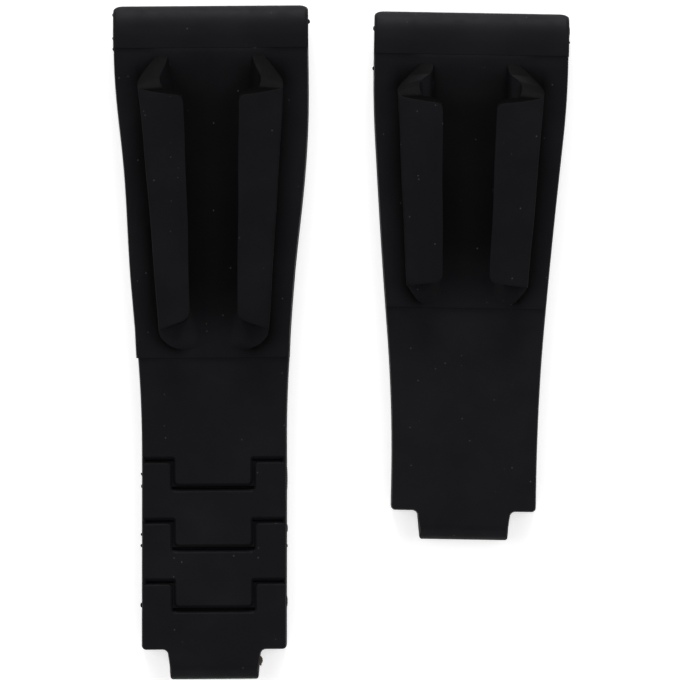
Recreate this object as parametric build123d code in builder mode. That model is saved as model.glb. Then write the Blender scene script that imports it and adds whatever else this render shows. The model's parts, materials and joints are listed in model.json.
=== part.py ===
from build123d import *
from dataclasses import dataclass
from math import atan, tan
import os

# Plan outline shared by both halves, every length in millimetres
lug_width = 20.0
tail_width = 14.9
taper_from = 9.0
taper_past_pad = 4.0
taper_blend_share = 0.45
head_corner_radius = 0.8
end_corner_radius = 0.8
tongue_length = 3.0
end_tongue_width = 9.2
tongue_root_radius = 0.9

# Thicknesses and the head bar
head_length = 4.5
head_height = 3.9
head_edge_radius = 0.4
carcass_thickness = 2.3
cushion_thickness = 1.1
tail_thickness = 3.2
flex_gap = 0.1

# Long half, distances from its head end, and the fins' clearances on the pad
long_cushion_end = 36.1
long_tail_step = 0.15
long_fin_head_gap = 0.2
long_fin_tail_gap = 0.6
long_root_reach_from = 5.4
long_root_reach_to = 3.85
long_rim_reach_from = 7.6
long_rim_reach_to = 5.4
long_lip_reach_from = 2.95
long_lip_reach_to = 2.3

# Short half, in the same way
short_cushion_end = 30.3
short_tail_length = 20.85
short_tail_step = 0.0
short_fin_head_gap = 0.4
short_fin_tail_gap = 0.3
short_root_reach_from = 4.85
short_root_reach_to = 4.75
short_rim_reach_from = 7.7
short_rim_reach_to = 6.15
short_lip_reach_from = 2.9
short_lip_reach_to = 2.5

# Fin section above the pad: a leaning wall, a folded rim and a flap over the channel
wall_foot = 1.45
rim_height = 2.1
rim_round = 0.15
rim_top = 2.8
fold_inset = 2.1
fold_height = 2.0
fold_top_inset = 1.8
fold_top_height = 3.05
fold_gap = 0.12
knee_share = 0.31
knee_height = 2.65
knee_thickness = 0.7
lip_height = 3.25
lip_thickness = 0.42
fin_head_slant = 4.7
fin_tail_slant = 3.9

# Plain tail of the long half and its cut-to-fit links
plain_tail_length = 10.55
link_pitch = 6.235
link_count = 2
end_link_length = 7.08
groove_width = 0.7
groove_lead = 2.9
hole_lead = 1.95
link_tongue_width = 7.7
link_hole = 1.5
skin_thickness = 0.5
skin_gap = 0.1

# Liner tubes and the spring leaf inside each half
head_tube_bore = 2.0
head_tube_wall = 0.3
head_tube_recess = 0.2
tail_tube_bore = 1.5
tail_tube_wall = 0.25
tail_tube_recess = 0.1
leaf_thickness = 0.25
leaf_head_width = 12.0
leaf_tail_width = 9.0
leaf_end_margin = 2.0
leaf_corner_radius = 1.0
eye_gap = 0.02
leaf_gap = 0.02

# How the pair lies: the gap between the heads, and the short half's place and turn
pair_gap = 6.9
short_head_drop = 0.9
short_turn = -1.39

# Values that follow from those above
pad_top = carcass_thickness + cushion_thickness
head_middle = head_height / 2
tail_middle = tail_thickness / 2
head_tube_outer = head_tube_bore / 2 + head_tube_wall
tail_tube_outer = tail_tube_bore / 2 + tail_tube_wall
eye_bore = head_tube_outer + eye_gap
eye_outer = eye_bore + leaf_thickness
taper_to = long_cushion_end + taper_past_pad
side_grooves = [long_cushion_end + plain_tail_length + link_pitch * i for i in range(link_count + 1)]
long_side_end = side_grooves[-1] + end_link_length
short_side_end = short_cushion_end + short_tail_length
long_length = long_side_end + tongue_length


@dataclass
class Half:
    """One half of the strap: where it lies and the lengths that only it has."""

    place: Plane
    cushion_end: float
    side_end: float
    tail_step: float
    fin: tuple
    root_reach: tuple
    rim_reach: tuple
    lip_reach: tuple

    def plan(self, height=0):
        """Seen from above, with the head end at y 0 and the tail towards -y."""
        return self.place.offset(height)

    def side(self):
        """Seen from the side, x from the head end towards the tail and y up."""
        return Plane(self.place.origin, x_dir=-self.place.y_dir, z_dir=-self.place.x_dir)

    def section(self, station):
        """Across the strap at a distance from the head end, x across and y up."""
        origin = self.place.origin - self.place.y_dir * station
        return Plane(origin, x_dir=self.place.x_dir, z_dir=-self.place.y_dir)

    def reach_at(self, station, reaches):
        """How far a line of the fin stands from the middle line at a station."""
        return between(station, self.fin, reaches)


def between(station, stations, reaches):
    """Straight-line value at a station, also past the two that are given."""
    share = (station - stations[0]) / (stations[1] - stations[0])
    return reaches[0] + share * (reaches[1] - reaches[0])


def half_width_at(station):
    """Half the strap's width where its sides draw in."""
    return between(station, (taper_from, taper_to), (lug_width / 2, tail_width / 2))


pair_offset = (lug_width + pair_gap) / 2
long_half = Half(
    place=Plane((-pair_offset, long_length / 2, 0)),
    cushion_end=long_cushion_end,
    side_end=long_side_end,
    tail_step=long_tail_step,
    fin=(head_length + long_fin_head_gap, long_cushion_end - long_fin_tail_gap),
    root_reach=(long_root_reach_from, long_root_reach_to),
    rim_reach=(long_rim_reach_from, long_rim_reach_to),
    lip_reach=(long_lip_reach_from, long_lip_reach_to),
)
short_half = Half(
    place=Plane((pair_offset, long_length / 2 - short_head_drop, 0)).rotated((0, 0, short_turn)),
    cushion_end=short_cushion_end,
    side_end=short_side_end,
    tail_step=short_tail_step,
    fin=(head_length + short_fin_head_gap, short_cushion_end - short_fin_tail_gap),
    root_reach=(short_root_reach_from, short_root_reach_to),
    rim_reach=(short_rim_reach_from, short_rim_reach_to),
    lip_reach=(short_lip_reach_from, short_lip_reach_to),
)


def taper_radius(reach):
    """Radius that rounds the taper's corner over a reach each side of it."""
    slope = (lug_width - tail_width) / 2 / (taper_to - taper_from)
    return reach / tan(atan(slope) / 2)


def head_plan(half):
    """Outline of the cushioned length, square at the head and drawn in to its end."""
    end_width = half_width_at(half.cushion_end)
    with BuildSketch(half.plan()) as outline:
        with BuildLine():
            Polyline(
                (0, 0),
                (lug_width / 2, 0),
                (lug_width / 2, -taper_from),
                (end_width, -half.cushion_end),
                (0, -half.cushion_end),
            )
            mirror(about=Plane.YZ)
        make_face()
        rows = outline.vertices().group_by(Axis.Y)
        fillet(rows[-1], head_corner_radius)
        bends = outline.vertices().filter_by(lambda v: abs(v.Y + taper_from) < head_corner_radius / 10)
        fillet(bends, taper_radius(taper_blend_share * taper_from))
    return outline.sketch


def tail_plan(half):
    """Outline of the plain tail: the last of the taper, parallel sides and the end tongue."""
    start = half.cushion_end + flex_gap
    start_width = half_width_at(start) - half.tail_step
    with BuildSketch(half.plan()) as outline:
        with BuildLine():
            Polyline(
                (0, -start),
                (start_width, -start),
                (tail_width / 2, -taper_to),
                (tail_width / 2, -half.side_end),
                (end_tongue_width / 2, -half.side_end),
                (end_tongue_width / 2, -half.side_end - tongue_length),
                (0, -half.side_end - tongue_length),
            )
            mirror(about=Plane.YZ)
        make_face()
        tongue_corners = outline.vertices().group_by(Axis.Y)[0]
        shoulders = outline.vertices().filter_by(lambda v: abs(v.Y + half.side_end) < flex_gap)
        shoulders = shoulders.sort_by(Axis.X)
        fillet(tongue_corners + shoulders[:1] + shoulders[-1:], end_corner_radius)
        roots = outline.vertices().filter_by(
            lambda v: abs(v.Y + half.side_end) < flex_gap and abs(v.X) < tail_width / 2 - end_corner_radius * 2
        )
        fillet(roots, tongue_root_radius)
    return outline.sketch


def leaf_plan(half, gap):
    """Outline of the spring leaf from the eye's middle to its tail, grown by a gap."""
    end = half.cushion_end - leaf_end_margin + gap
    with BuildSketch(half.plan(carcass_thickness - leaf_thickness - gap)) as outline:
        with BuildLine():
            Polyline(
                (0, -head_middle),
                (leaf_head_width / 2 + gap, -head_middle),
                (leaf_tail_width / 2 + gap, -end),
                (0, -end),
            )
            mirror(about=Plane.YZ)
        make_face()
        fillet(outline.vertices().group_by(Axis.Y)[0], leaf_corner_radius)
    return outline.sketch


def across(half, station, height, radius, length, hollow=0):
    """Round bar, or tube, that lies across the strap at a station."""
    with BuildPart() as bar:
        with BuildSketch(half.side()):
            with Locations((station, height)):
                Circle(radius)
                if hollow:
                    Circle(hollow, mode=Mode.SUBTRACT)
        extrude(amount=length / 2, both=True)
    return bar.part


def spring_leaf(half):
    """Thin leaf whose head end is rolled into an eye round the head tube."""
    with BuildPart() as leaf:
        add(leaf_plan(half, 0))
        extrude(amount=leaf_thickness)
        add(across(half, head_middle, head_middle, eye_outer, leaf_head_width))
        bore = across(half, head_middle, head_middle, eye_bore, lug_width)
        add(bore, mode=Mode.SUBTRACT)
    return leaf.part


def carcass(half):
    """Outer rubber strip with the round head bar, the leaf's pocket and the head bore."""
    with BuildPart() as strip:
        add(head_plan(half))
        extrude(amount=head_height)
        with BuildSketch(half.side()) as profile:
            with BuildLine():
                Polyline(
                    (head_middle, 0),
                    (half.cushion_end, 0),
                    (half.cushion_end, carcass_thickness),
                    (head_length, carcass_thickness),
                    (head_length, head_height),
                    (head_middle, head_height),
                )
                ThreePointArc((head_middle, head_height), (0, head_middle), (head_middle, 0))
            make_face()
            fillet(profile.vertices().sort_by_distance((head_length, head_height))[:1], head_edge_radius)
        extrude(amount=lug_width / 2, both=True, mode=Mode.INTERSECT)
        add(across(half, head_middle, head_middle, head_tube_outer, lug_width), mode=Mode.SUBTRACT)
        eye_room = across(half, head_middle, head_middle, eye_outer, leaf_head_width + 2 * leaf_gap)
        add(eye_room, mode=Mode.SUBTRACT)
        add(leaf_plan(half, leaf_gap))
        extrude(amount=leaf_thickness + leaf_gap, mode=Mode.SUBTRACT)
    return strip.part


def cushion(half):
    """Moulded pad that covers the carcass and the leaf from the head bar to the flex line."""
    with BuildPart() as pad:
        add(head_plan(half))
        extrude(amount=pad_top)
        with BuildSketch(half.side()):
            with BuildLine():
                Polyline(
                    (head_length, carcass_thickness),
                    (half.cushion_end, carcass_thickness),
                    (half.cushion_end, pad_top),
                    (head_length, pad_top),
                    close=True,
                )
            make_face()
        extrude(amount=lug_width / 2, both=True, mode=Mode.INTERSECT)
    return pad.part


def wall_points(half, station):
    """The fin's leaning wall and rim in section, up to the fold."""
    root = half.reach_at(station, half.root_reach)
    rim = half.reach_at(station, half.rim_reach)
    return [
        (root - wall_foot, 0),
        (root, 0),
        (rim, rim_height),
        (rim - rim_round, rim_top),
        (rim - fold_top_inset, fold_top_height),
        (rim - fold_inset, fold_height),
    ]


def flap_points(half, station):
    """The fin's flap in section, from the fold over its knee to the inner lip."""
    rim = half.reach_at(station, half.rim_reach) - fold_gap
    lip = half.reach_at(station, half.lip_reach)
    knee = rim - fold_inset - knee_share * (rim - fold_inset - lip)
    return [
        (rim - fold_inset, fold_height),
        (rim - fold_top_inset, fold_top_height),
        (knee, knee_height + knee_thickness),
        (lip, lip_height + lip_thickness),
        (lip, lip_height),
        (knee, knee_height),
    ]


def fin_piece(half, side, points):
    """Part of a fin on one side, cut slanting at its head end and its tail end."""
    start, end = half.fin
    top = pad_top + lip_height + lip_thickness
    with BuildPart() as piece:
        for station in half.fin:
            with BuildSketch(half.section(station)):
                with BuildLine():
                    Polyline([(side * x, pad_top + y) for x, y in points(half, station)], close=True)
                make_face()
        loft(ruled=True)
        with BuildSketch(half.side()):
            with BuildLine():
                Polyline(
                    (start, pad_top),
                    (start + fin_head_slant, top),
                    (end - fin_tail_slant, top),
                    (end, pad_top),
                    close=True,
                )
            make_face()
        extrude(amount=lug_width / 2, both=True, mode=Mode.INTERSECT)
    return piece.part


def tail_blank(half):
    """Whole tail past the flex line, rounded at its tongue, with the tail tube's bore."""
    tip = half.side_end + tongue_length
    with BuildPart() as blank:
        add(tail_plan(half))
        extrude(amount=tail_thickness)
        with BuildSketch(half.side()):
            with BuildLine():
                Polyline(
                    (tip - tail_middle, tail_thickness),
                    (half.cushion_end, tail_thickness),
                    (half.cushion_end, 0),
                    (tip - tail_middle, 0),
                )
                ThreePointArc((tip - tail_middle, 0), (tip, tail_middle), (tip - tail_middle, tail_thickness))
            make_face()
        extrude(amount=lug_width / 2, both=True, mode=Mode.INTERSECT)
        bore = across(half, tip - tail_middle, tail_middle, tail_tube_outer, lug_width)
        add(bore, mode=Mode.SUBTRACT)
    return blank.part


def link_edge(side_groove, grow, height):
    """Block up to a cut line: full-width shoulders and the middle tongue, grown by a margin."""
    shoulder = side_groove - groove_width / 2 + grow
    tip = shoulder + groove_lead
    with BuildPart() as block:
        with BuildSketch(long_half.plan()):
            with BuildLine():
                Polyline(
                    (lug_width / 2, -long_cushion_end),
                    (lug_width / 2, -shoulder),
                    (link_tongue_width / 2 + grow, -shoulder),
                    (link_tongue_width / 2 + grow, -tip),
                    (0, -tip),
                    (0, -long_cushion_end),
                    close=True,
                )
            make_face()
            mirror(about=Plane.YZ)
        extrude(amount=height)
    return block.part


def link_end(side_groove):
    """Room that a stretch fills up to its groove, and below the groove its thin skin."""
    with BuildPart() as room:
        add(link_edge(side_groove, 0, tail_thickness))
        add(link_edge(side_groove, groove_width - skin_gap, skin_thickness))
    return room.part


def link_piece(index):
    """One stretch of the long tail between two cut lines, on the thin skin that joins them."""
    with BuildPart() as piece:
        add(tail_blank(long_half))
        for groove in side_grooves[max(index - 1, 0):index + 1]:
            hole = across(long_half, groove + hole_lead, tail_middle, link_hole / 2, lug_width)
            add(hole, mode=Mode.SUBTRACT)
        if index < len(side_grooves):
            add(link_end(side_grooves[index]), mode=Mode.INTERSECT)
        if index > 0:
            cut = link_edge(side_grooves[index - 1], groove_width, tail_thickness)
            add(cut, mode=Mode.SUBTRACT)
    return piece.part


def head_tube(half):
    """Steel tube that lines the head bore for the spring bar."""
    length = lug_width - 2 * head_tube_recess
    return across(half, head_middle, head_middle, head_tube_outer, length, head_tube_bore / 2)


def tail_tube(half):
    """Steel tube that lines the end tongue's bore for the clasp's pin."""
    station = half.side_end + tongue_length - tail_middle
    length = end_tongue_width - 2 * tail_tube_recess
    return across(half, station, tail_middle, tail_tube_outer, length, tail_tube_bore / 2)


pieces = {}
for name, half in (("long", long_half), ("short", short_half)):
    pieces[f"{name}_carcass"] = carcass(half)
    pieces[f"{name}_cushion"] = cushion(half)
    pieces[f"{name}_spring_leaf"] = spring_leaf(half)
    pieces[f"{name}_head_tube"] = head_tube(half)
    pieces[f"{name}_tail_tube"] = tail_tube(half)
    for side_name, side in (("left", -1), ("right", 1)):
        pieces[f"{name}_{side_name}_fin_wall"] = fin_piece(half, side, wall_points)
        pieces[f"{name}_{side_name}_fin_flap"] = fin_piece(half, side, flap_points)
for index, name in enumerate(["long_tail", "first_link", "second_link", "end_link"]):
    pieces[name] = link_piece(index)
pieces["short_tail"] = tail_blank(short_half)

os.makedirs("parts", exist_ok=True)
for name, part in pieces.items():
    part.label = name
    export_step(part, f"parts/{name}.step")
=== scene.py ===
"""Rubber dive strap in two halves: the moulded rubber and the studio that it lies in."""

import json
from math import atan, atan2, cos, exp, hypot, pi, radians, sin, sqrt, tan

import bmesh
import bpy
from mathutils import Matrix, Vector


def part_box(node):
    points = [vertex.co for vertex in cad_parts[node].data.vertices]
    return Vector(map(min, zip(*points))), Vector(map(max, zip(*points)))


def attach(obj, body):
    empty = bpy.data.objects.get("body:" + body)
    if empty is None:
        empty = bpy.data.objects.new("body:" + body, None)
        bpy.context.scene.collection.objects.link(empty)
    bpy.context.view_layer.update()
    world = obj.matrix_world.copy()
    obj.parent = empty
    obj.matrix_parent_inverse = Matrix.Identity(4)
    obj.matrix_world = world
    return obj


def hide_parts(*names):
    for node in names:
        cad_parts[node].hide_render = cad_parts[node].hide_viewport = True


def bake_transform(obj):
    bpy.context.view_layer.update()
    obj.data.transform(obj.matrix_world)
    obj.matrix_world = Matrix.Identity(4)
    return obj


bl_info = {
    "name": "Rubber Dive Strap",
    "version": (1, 0, 0),
    "blender": (4, 5, 0),
    "location": "3D View > Sidebar > Dive Strap",
    "description": "Models the rubber of a two-piece dive strap round its packed parts",
    "category": "Add Mesh",
}

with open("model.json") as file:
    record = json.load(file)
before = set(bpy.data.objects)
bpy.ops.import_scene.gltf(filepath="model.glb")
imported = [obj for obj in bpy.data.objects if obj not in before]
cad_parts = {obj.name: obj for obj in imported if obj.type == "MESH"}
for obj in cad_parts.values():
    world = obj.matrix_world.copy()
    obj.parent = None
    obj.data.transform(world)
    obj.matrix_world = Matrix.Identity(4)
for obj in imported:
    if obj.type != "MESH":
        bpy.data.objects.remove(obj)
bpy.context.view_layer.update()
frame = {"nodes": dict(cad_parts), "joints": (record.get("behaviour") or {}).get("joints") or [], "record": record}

MM = 0.001
SIDES = {"left": -1, "right": 1}

# How dark the shade painted in the hollows between the fins is, where 1 is as dark as the rubber gets
SHADE_STRENGTH = 0.6

# How much larger a bore's radius is than its tube's, so that no two faces lie in one another
BORE_GAP = 0.01 * MM

# How many cut lines the long tail has
CUT_LINES = 3


def mount_point(name):
    """Where the record says that a mount is."""
    return next(Vector(m["pos_m"]) for m in frame["record"]["mounts"] if m["name"] == name)


def joint_named(name):
    """The record's joint of that name."""
    return next(j for j in frame["joints"] if j["name"] == name)


class Half:
    """One half of the strap: stations run from its head end, x lies across it and z is up."""

    def __init__(self, name):
        self.name = name
        head = mount_point(f"{name}_head_bore")
        tail = mount_point(f"{name}_tail_bore")
        along = head - tail
        along.z = 0
        start = head + along.normalized() * head.z
        start.z = 0
        turn = Matrix.Rotation(atan2(-along.x, along.y), 4, "Z")
        self.matrix = Matrix.Translation(start) @ turn
        self.head_height = 2 * head.z
        self.tail_height = 2 * tail.z
        self.tail_bore = self.station(tail)
        self.length = self.tail_bore + tail.z
        self.flex = self.station(Vector(joint_named(f"{name}_tail_flex")["pos_m"]))
        self.main = f"{name}_main"

    def station(self, point):
        """How far a point of the frame lies from this half's head end."""
        return -(self.matrix.inverted() @ point).y

    def at(self, across, station, height):
        """The point of the frame at a place on this half."""
        return self.matrix @ Vector((across, -station, height))


LONG = Half("long")
SHORT = Half("short")
HALVES = {"long": LONG, "short": SHORT}
CARCASS_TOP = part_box("long_cushion")[0].z
PAD_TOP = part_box("long_cushion")[1].z
FIN_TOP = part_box("long_left_fin_flap")[1].z
LUG_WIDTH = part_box("long_carcass")[1].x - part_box("long_carcass")[0].x
TAIL_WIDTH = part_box("end_link")[1].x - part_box("end_link")[0].x
HEAD_TUBE = (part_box("long_head_tube")[1].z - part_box("long_head_tube")[0].z) / 2
TAIL_TUBE = (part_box("long_tail_tube")[1].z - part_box("long_tail_tube")[0].z) / 2

# The bend that closes a fin, point by point away from the fin: how far its edge lies across, the edge's
# station and height over the pad, how far its foot lies across and the foot's station, in millimetres
BENDS = {
    "long": [(5.65, 31.4, 2.5, 2.2, 31.0), (5.63, 33.2, 2.6, 1.7, 32.3), (5.4, 34.05, 2.2, 1.5, 33.2),
             (4.67, 34.8, 1.5, 1.3, 33.9), (3.83, 35.2, 0.7, 1.2, 34.4), (3.05, 35.4, 0.02, 1.1, 34.8)],
    "short": [(6.22, 26.4, 2.5, 2.9, 26.0), (6.2, 27.8, 2.6, 2.6, 27.1), (5.95, 28.5, 2.1, 2.5, 27.8),
              (5.5, 29.1, 1.4, 2.4, 28.4), (5.05, 29.65, 0.65, 2.3, 28.9), (4.5, 30.05, 0.02, 2.2, 29.3)],
}

# The scraps of flash: the side, the station, how far they stand out and how long they are, in millimetres
FLASH = {
    "long": [(-1, 0.9, 0.12, 0.4), (-1, 3.3, 0.14, 0.3), (-1, 4.4, 0.12, 0.4), (1, 1.7, 0.2, 0.5),
             (-1, 48.05, 0.12, 0.3), (-1, 49.3, 0.1, 0.4), (-1, 54.25, 0.12, 0.3), (-1, 55.4, 0.14, 0.35),
             (-1, 61.5, 0.14, 0.5), (1, 48.5, 0.06, 2.6), (1, 53.7, 0.1, 0.9), (1, 55.5, 0.1, 0.4),
             (1, 61.2, 0.1, 1.3)],
    "short": [(-1, 1.8, 0.14, 0.5), (-1, 5.9, 0.14, 0.4), (1, 1.8, 0.1, 1.1), (1, 2.9, 0.14, 0.3)],
}


def length(name, description, default):
    """A size that a user can change."""
    return bpy.props.FloatProperty(
        name=name, description=description, default=default, unit="LENGTH", precision=5)


def lengths(name, description, default):
    """A pair of sizes that a user can change."""
    return bpy.props.FloatVectorProperty(
        name=name, description=description, size=2, default=default, unit="LENGTH", precision=5)


def amount(name, description, default, top=1.0):
    """A plain number that a user can change."""
    return bpy.props.FloatProperty(
        name=name, description=description, default=default, min=0, max=top, precision=4)


def power(name, description, default):
    """A lamp's power that a user can change."""
    return bpy.props.FloatProperty(name=name, description=description, default=default, unit="POWER")


def colour(name, description, default):
    """A colour that a user can change."""
    return bpy.props.FloatVectorProperty(
        name=name, description=description, size=3, default=default, min=0, max=1, subtype="COLOR")


class StrapSizes(bpy.types.PropertyGroup):
    """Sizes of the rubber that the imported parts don't give."""

    taper_from: length("Taper from", "Station where the sides would bend inwards", 9.0 * MM)
    taper_to: length("Taper to", "Station from which the sides run parallel", 40.1 * MM)
    taper_reach: length("Taper reach", "How far the bend at its start is rounded each way", 4.05 * MM)
    taper_ease: lengths("Taper ease", "Rounding of the taper's end each way, on the long and short half",
                        (5.0 * MM, 7.5 * MM))
    pad_flare: length("Pad flare", "How far the long half's sides spread at the pad's end", 0.1 * MM)
    head_end: length("Head end", "Station where the head bar meets the pad", 4.4 * MM)
    nose_depth: length("Nose depth", "How far the head bar's rounding reaches back", 2.9 * MM)
    crown_end: length("Crown end", "Station where the head's fall has run out on the pad", 8.5 * MM)
    brow: length("Brow", "Rounding of the head bar where it meets the pad", 0.015 * MM)
    head_corner: length("Head corner", "Radius of the head's corners seen from above", 0.5 * MM)
    edge_round: length("Edge round", "Rounding of the carcass along its sides", 0.4 * MM)
    pad_edge: length("Pad edge", "Rounding of the pad's upper edges", 0.15 * MM)
    pad_end_edge: length("Pad end edge", "Rounding of the pad's edges across the strap", 0.03 * MM)
    side_draft: length("Side draft", "How much the sides draw in from below to above", 0.12 * MM)
    tongue_widths: lengths("Tongue widths", "Width of the end tongue at its root and tip",
                           (9.6 * MM, 9.0 * MM))
    tongue_length: lengths("Tongue length", "How far the long and the short half's end tongue stands out",
                           (3.09 * MM, 2.96 * MM))
    tongue_root: length("Tongue root", "Radius in the corner beside the tongue", 0.55 * MM)
    shoulder_round: length("Shoulder round", "Radius of the tail's outer corners", 0.45 * MM)
    tongue_shift: length("Tongue shift", "How far the short half's tongue stands to the right", 0.05 * MM)
    groove_width: length("Groove width", "Width of a cut line across the strap", 0.8 * MM)
    groove_leg: length("Groove leg", "Width of a cut line along the strap", 0.6 * MM)
    groove_reach: length("Groove reach", "How far the cut line's legs stand from the middle", 4.13 * MM)
    groove_lead: length("Groove lead", "How far the middle of a cut line lies behind its ends", 2.9 * MM)
    groove_web: lengths("Groove web", "Rubber left between a cut line and the left side, and the right side",
                        (0.34 * MM, 0.1 * MM))
    groove_floor: length("Groove floor", "Rubber left under a cut line", 2.35 * MM)
    groove_slope: length("Groove slope", "How much wider the middle of a cut line opens to the head",
                         0.12 * MM)
    slot_width: length("Slot width", "Width of the deep slots in a cut line", 0.22 * MM)
    first_groove: length("First groove", "Station of the first cut line's ends", 46.65 * MM)
    groove_pitch: length("Groove pitch", "Distance from one cut line to the next", 6.235 * MM)
    link_hole: length("Link hole", "Radius of the pin holes across the links", 0.75 * MM)
    hole_lead: length("Hole lead", "How far a pin hole lies behind its cut line's ends", 1.95 * MM)
    long_fin: lengths("Long fins", "Stations where the long half's fins stand on the pad",
                      (4.75 * MM, 35.45 * MM))
    long_root: lengths("Long fin root", "Where the long half's fins rise from the pad", (5.4 * MM, 3.85 * MM))
    long_rim: lengths("Long fin rim", "Where the long half's fins fold back", (7.4 * MM, 5.6 * MM))
    long_lip: lengths("Long fin lip", "Where the long half's fins end over the channel",
                      (2.82 * MM, 2.4 * MM))
    long_ends: lengths("Long fin ends", "How far a wall ends before its bend, and its lip before that",
                       (2.15 * MM, 1.15 * MM))
    head_slant: lengths("Fin head slant", "How far a fin's head end slants back over wall, and over flap",
                        (3.95 * MM, 0.7 * MM))
    # The fins' faces get at least this much painted shade, which darkens the flaps and dulls their sheen
    flap_shade: amount("Flap shade", "How much duller the flaps are than the tails", 0.36)
    bend_lean: amount("Bend lean", "How much the wall that closes a fin leans out, to its height", 0.6)
    short_fin: lengths("Short fins", "Stations where the short half's fins stand on the pad",
                       (4.9 * MM, 30.0 * MM))
    short_root: lengths("Short fin root", "Where the short half's fins rise from the pad",
                        (4.85 * MM, 4.75 * MM))
    short_rim: lengths("Short fin rim", "Where the short half's fins fold back", (7.46 * MM, 6.18 * MM))
    short_lip: lengths("Short fin lip", "Where the short half's fins end over the channel",
                       (2.9 * MM, 2.5 * MM))
    right_reach: length("Right fin reach", "How much further the short half's right fin reaches in",
                        0.27 * MM)
    short_ends: lengths("Short fin ends", "How far a wall ends before its bend, and its lip before that",
                        (1.8 * MM, 0.4 * MM))


class StrapFinish(bpy.types.PropertyGroup):
    """Colours and finish of the rubber and the steel."""

    rubber: colour("Rubber", "Colour of the moulded rubber", (0.0057, 0.0057, 0.0070))
    rubber_worn: colour("Rubber, rubbed", "Colour where the rubber is rubbed", (0.0077, 0.0076, 0.0092))
    # The painted shade darkens the rubber towards this colour in the hollows, under the flaps and in the cut slots
    rubber_deep: colour("Rubber, sheltered", "Colour of the rubber in the hollows", (0.0022, 0.0022, 0.0021))
    dust: colour("Dust", "Colour of the dust specks", (0.045, 0.045, 0.05))
    burr: colour("Burr", "Colour of the torn flake beside the tongue", (0.085, 0.072, 0.052))
    rubber_roughness: amount("Rubber roughness", "How matt the rubber is", 0.55)
    sheen: amount("Sheen", "How strongly the rubber reflects", 0.06)
    grain: amount("Grain", "Strength of the mould's fine grain", 0.10)
    tube: colour("Tube steel", "Colour of the steel tubes", (0.55, 0.54, 0.52))
    leaf: colour("Spring steel", "Colour of the spring leaves", (0.42, 0.42, 0.43))


class StudioSettings(bpy.types.PropertyGroup):
    """The floor, the lamps and the camera."""

    floor: colour("Floor", "Colour of the floor", (0.75, 0.75, 0.75))
    floor_glow: amount("Floor glow", "Brightness that the floor shows of itself", 0.52, 2)
    horizon: amount("Horizon", "Brightness of the room towards the horizon", 0.5, 5)
    overhead: amount("Overhead", "Brightness of the room straight above", 0.2, 5)
    key: power("Key lamp", "Power of the large lamp beyond the heads", 9.0)
    fill: power("Side lamps", "Power of each lamp at the sides", 1.6)
    tail: power("Tail lamp", "Power of the lamp beyond the tails", 1.9)
    view_width: length("View width", "Width that the picture takes in at the strap", 69.87 * MM)
    distance: length("Distance", "How far above the strap the camera is", 500 * MM)
    aim: bpy.props.FloatVectorProperty(
        name="Aim", description="Point of the strap in the middle of the picture", size=3,
        default=(-0.33 * MM, 0.175 * MM, 2.0 * MM), unit="LENGTH", precision=5)
    roll: bpy.props.FloatProperty(
        name="Roll", description="Turn of the camera about its own view", default=radians(-0.39),
        unit="ROTATION")


def sizes():
    """The strap's sizes as the user set them."""
    return bpy.context.scene.strap_sizes


def finish():
    """The strap's colours as the user set them."""
    return bpy.context.scene.strap_finish


def studio():
    """The studio's settings as the user set them."""
    return bpy.context.scene.strap_studio


def clear_selection():
    """Deselects every object."""
    bpy.ops.object.select_all(action="DESELECT")


def make_active(piece):
    """Selects one object alone and makes it the active one."""
    clear_selection()
    piece.select_set(True)
    bpy.context.view_layer.objects.active = piece


def raise_levels(levels):
    """Extrudes the active flat shape upwards, by one unit for each level after the first."""
    bpy.ops.object.mode_set(mode="EDIT")
    bpy.ops.mesh.select_all(action="SELECT")
    for _ in range(levels - 1):
        bpy.ops.mesh.extrude_region_move(TRANSFORM_OT_translate={"value": (0, 0, 1)})
    bpy.ops.object.mode_set(mode="OBJECT")


def block(name, columns, rows, levels, place):
    """A closed block of faces, each corner put where place says for its column, row and level."""
    clear_selection()
    bpy.ops.mesh.primitive_grid_add(x_subdivisions=columns - 1, y_subdivisions=rows - 1, size=2)
    piece = bpy.context.object
    piece.name = piece.data.name = name
    raise_levels(levels)
    for corner in piece.data.vertices:
        column = round((corner.co.x + 1) / 2 * (columns - 1))
        row = round((corner.co.y + 1) / 2 * (rows - 1))
        corner.co = place(column, row, round(corner.co.z))
    close_up(piece)
    return piece


def slab(name, levels, outline_at):
    """A closed plate raised level by level, with outline_at giving each level's outline."""
    outlines = [outline_at(level) for level in levels]
    clear_selection()
    bpy.ops.mesh.primitive_circle_add(vertices=len(outlines[0]), radius=1, fill_type="NGON")
    piece = bpy.context.object
    piece.name = piece.data.name = name
    angles = [round(atan2(corner.co.y, corner.co.x), 4) for corner in piece.data.vertices]
    raise_levels(len(levels))
    for corner in piece.data.vertices:
        index = angles.index(round(atan2(corner.co.y, corner.co.x), 4))
        corner.co = outlines[round(corner.co.z)][index]
    close_up(piece)
    return piece


def close_up(piece):
    """Merges doubled corners and turns every face outwards."""
    make_active(piece)
    bpy.ops.object.mode_set(mode="EDIT")
    bpy.ops.mesh.select_all(action="SELECT")
    bpy.ops.mesh.remove_doubles(threshold=0.5 * MM * MM)
    bpy.ops.mesh.normals_make_consistent(inside=False)
    bpy.ops.object.mode_set(mode="OBJECT")


def bevel_edges(piece, width, segments, chosen):
    """Rounds the edges for which chosen says yes, given their two ends."""
    make_active(piece)
    bpy.ops.object.mode_set(mode="EDIT")
    bpy.ops.mesh.select_mode(type="EDGE")
    bpy.ops.mesh.select_all(action="DESELECT")
    mesh = bmesh.from_edit_mesh(piece.data)
    for edge in mesh.edges:
        edge.select = chosen(edge.verts[0].co, edge.verts[1].co)
    bmesh.update_edit_mesh(piece.data)
    bpy.ops.mesh.bevel(offset=width, segments=segments, affect="EDGES", clamp_overlap=True)
    bpy.ops.object.mode_set(mode="OBJECT")


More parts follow.
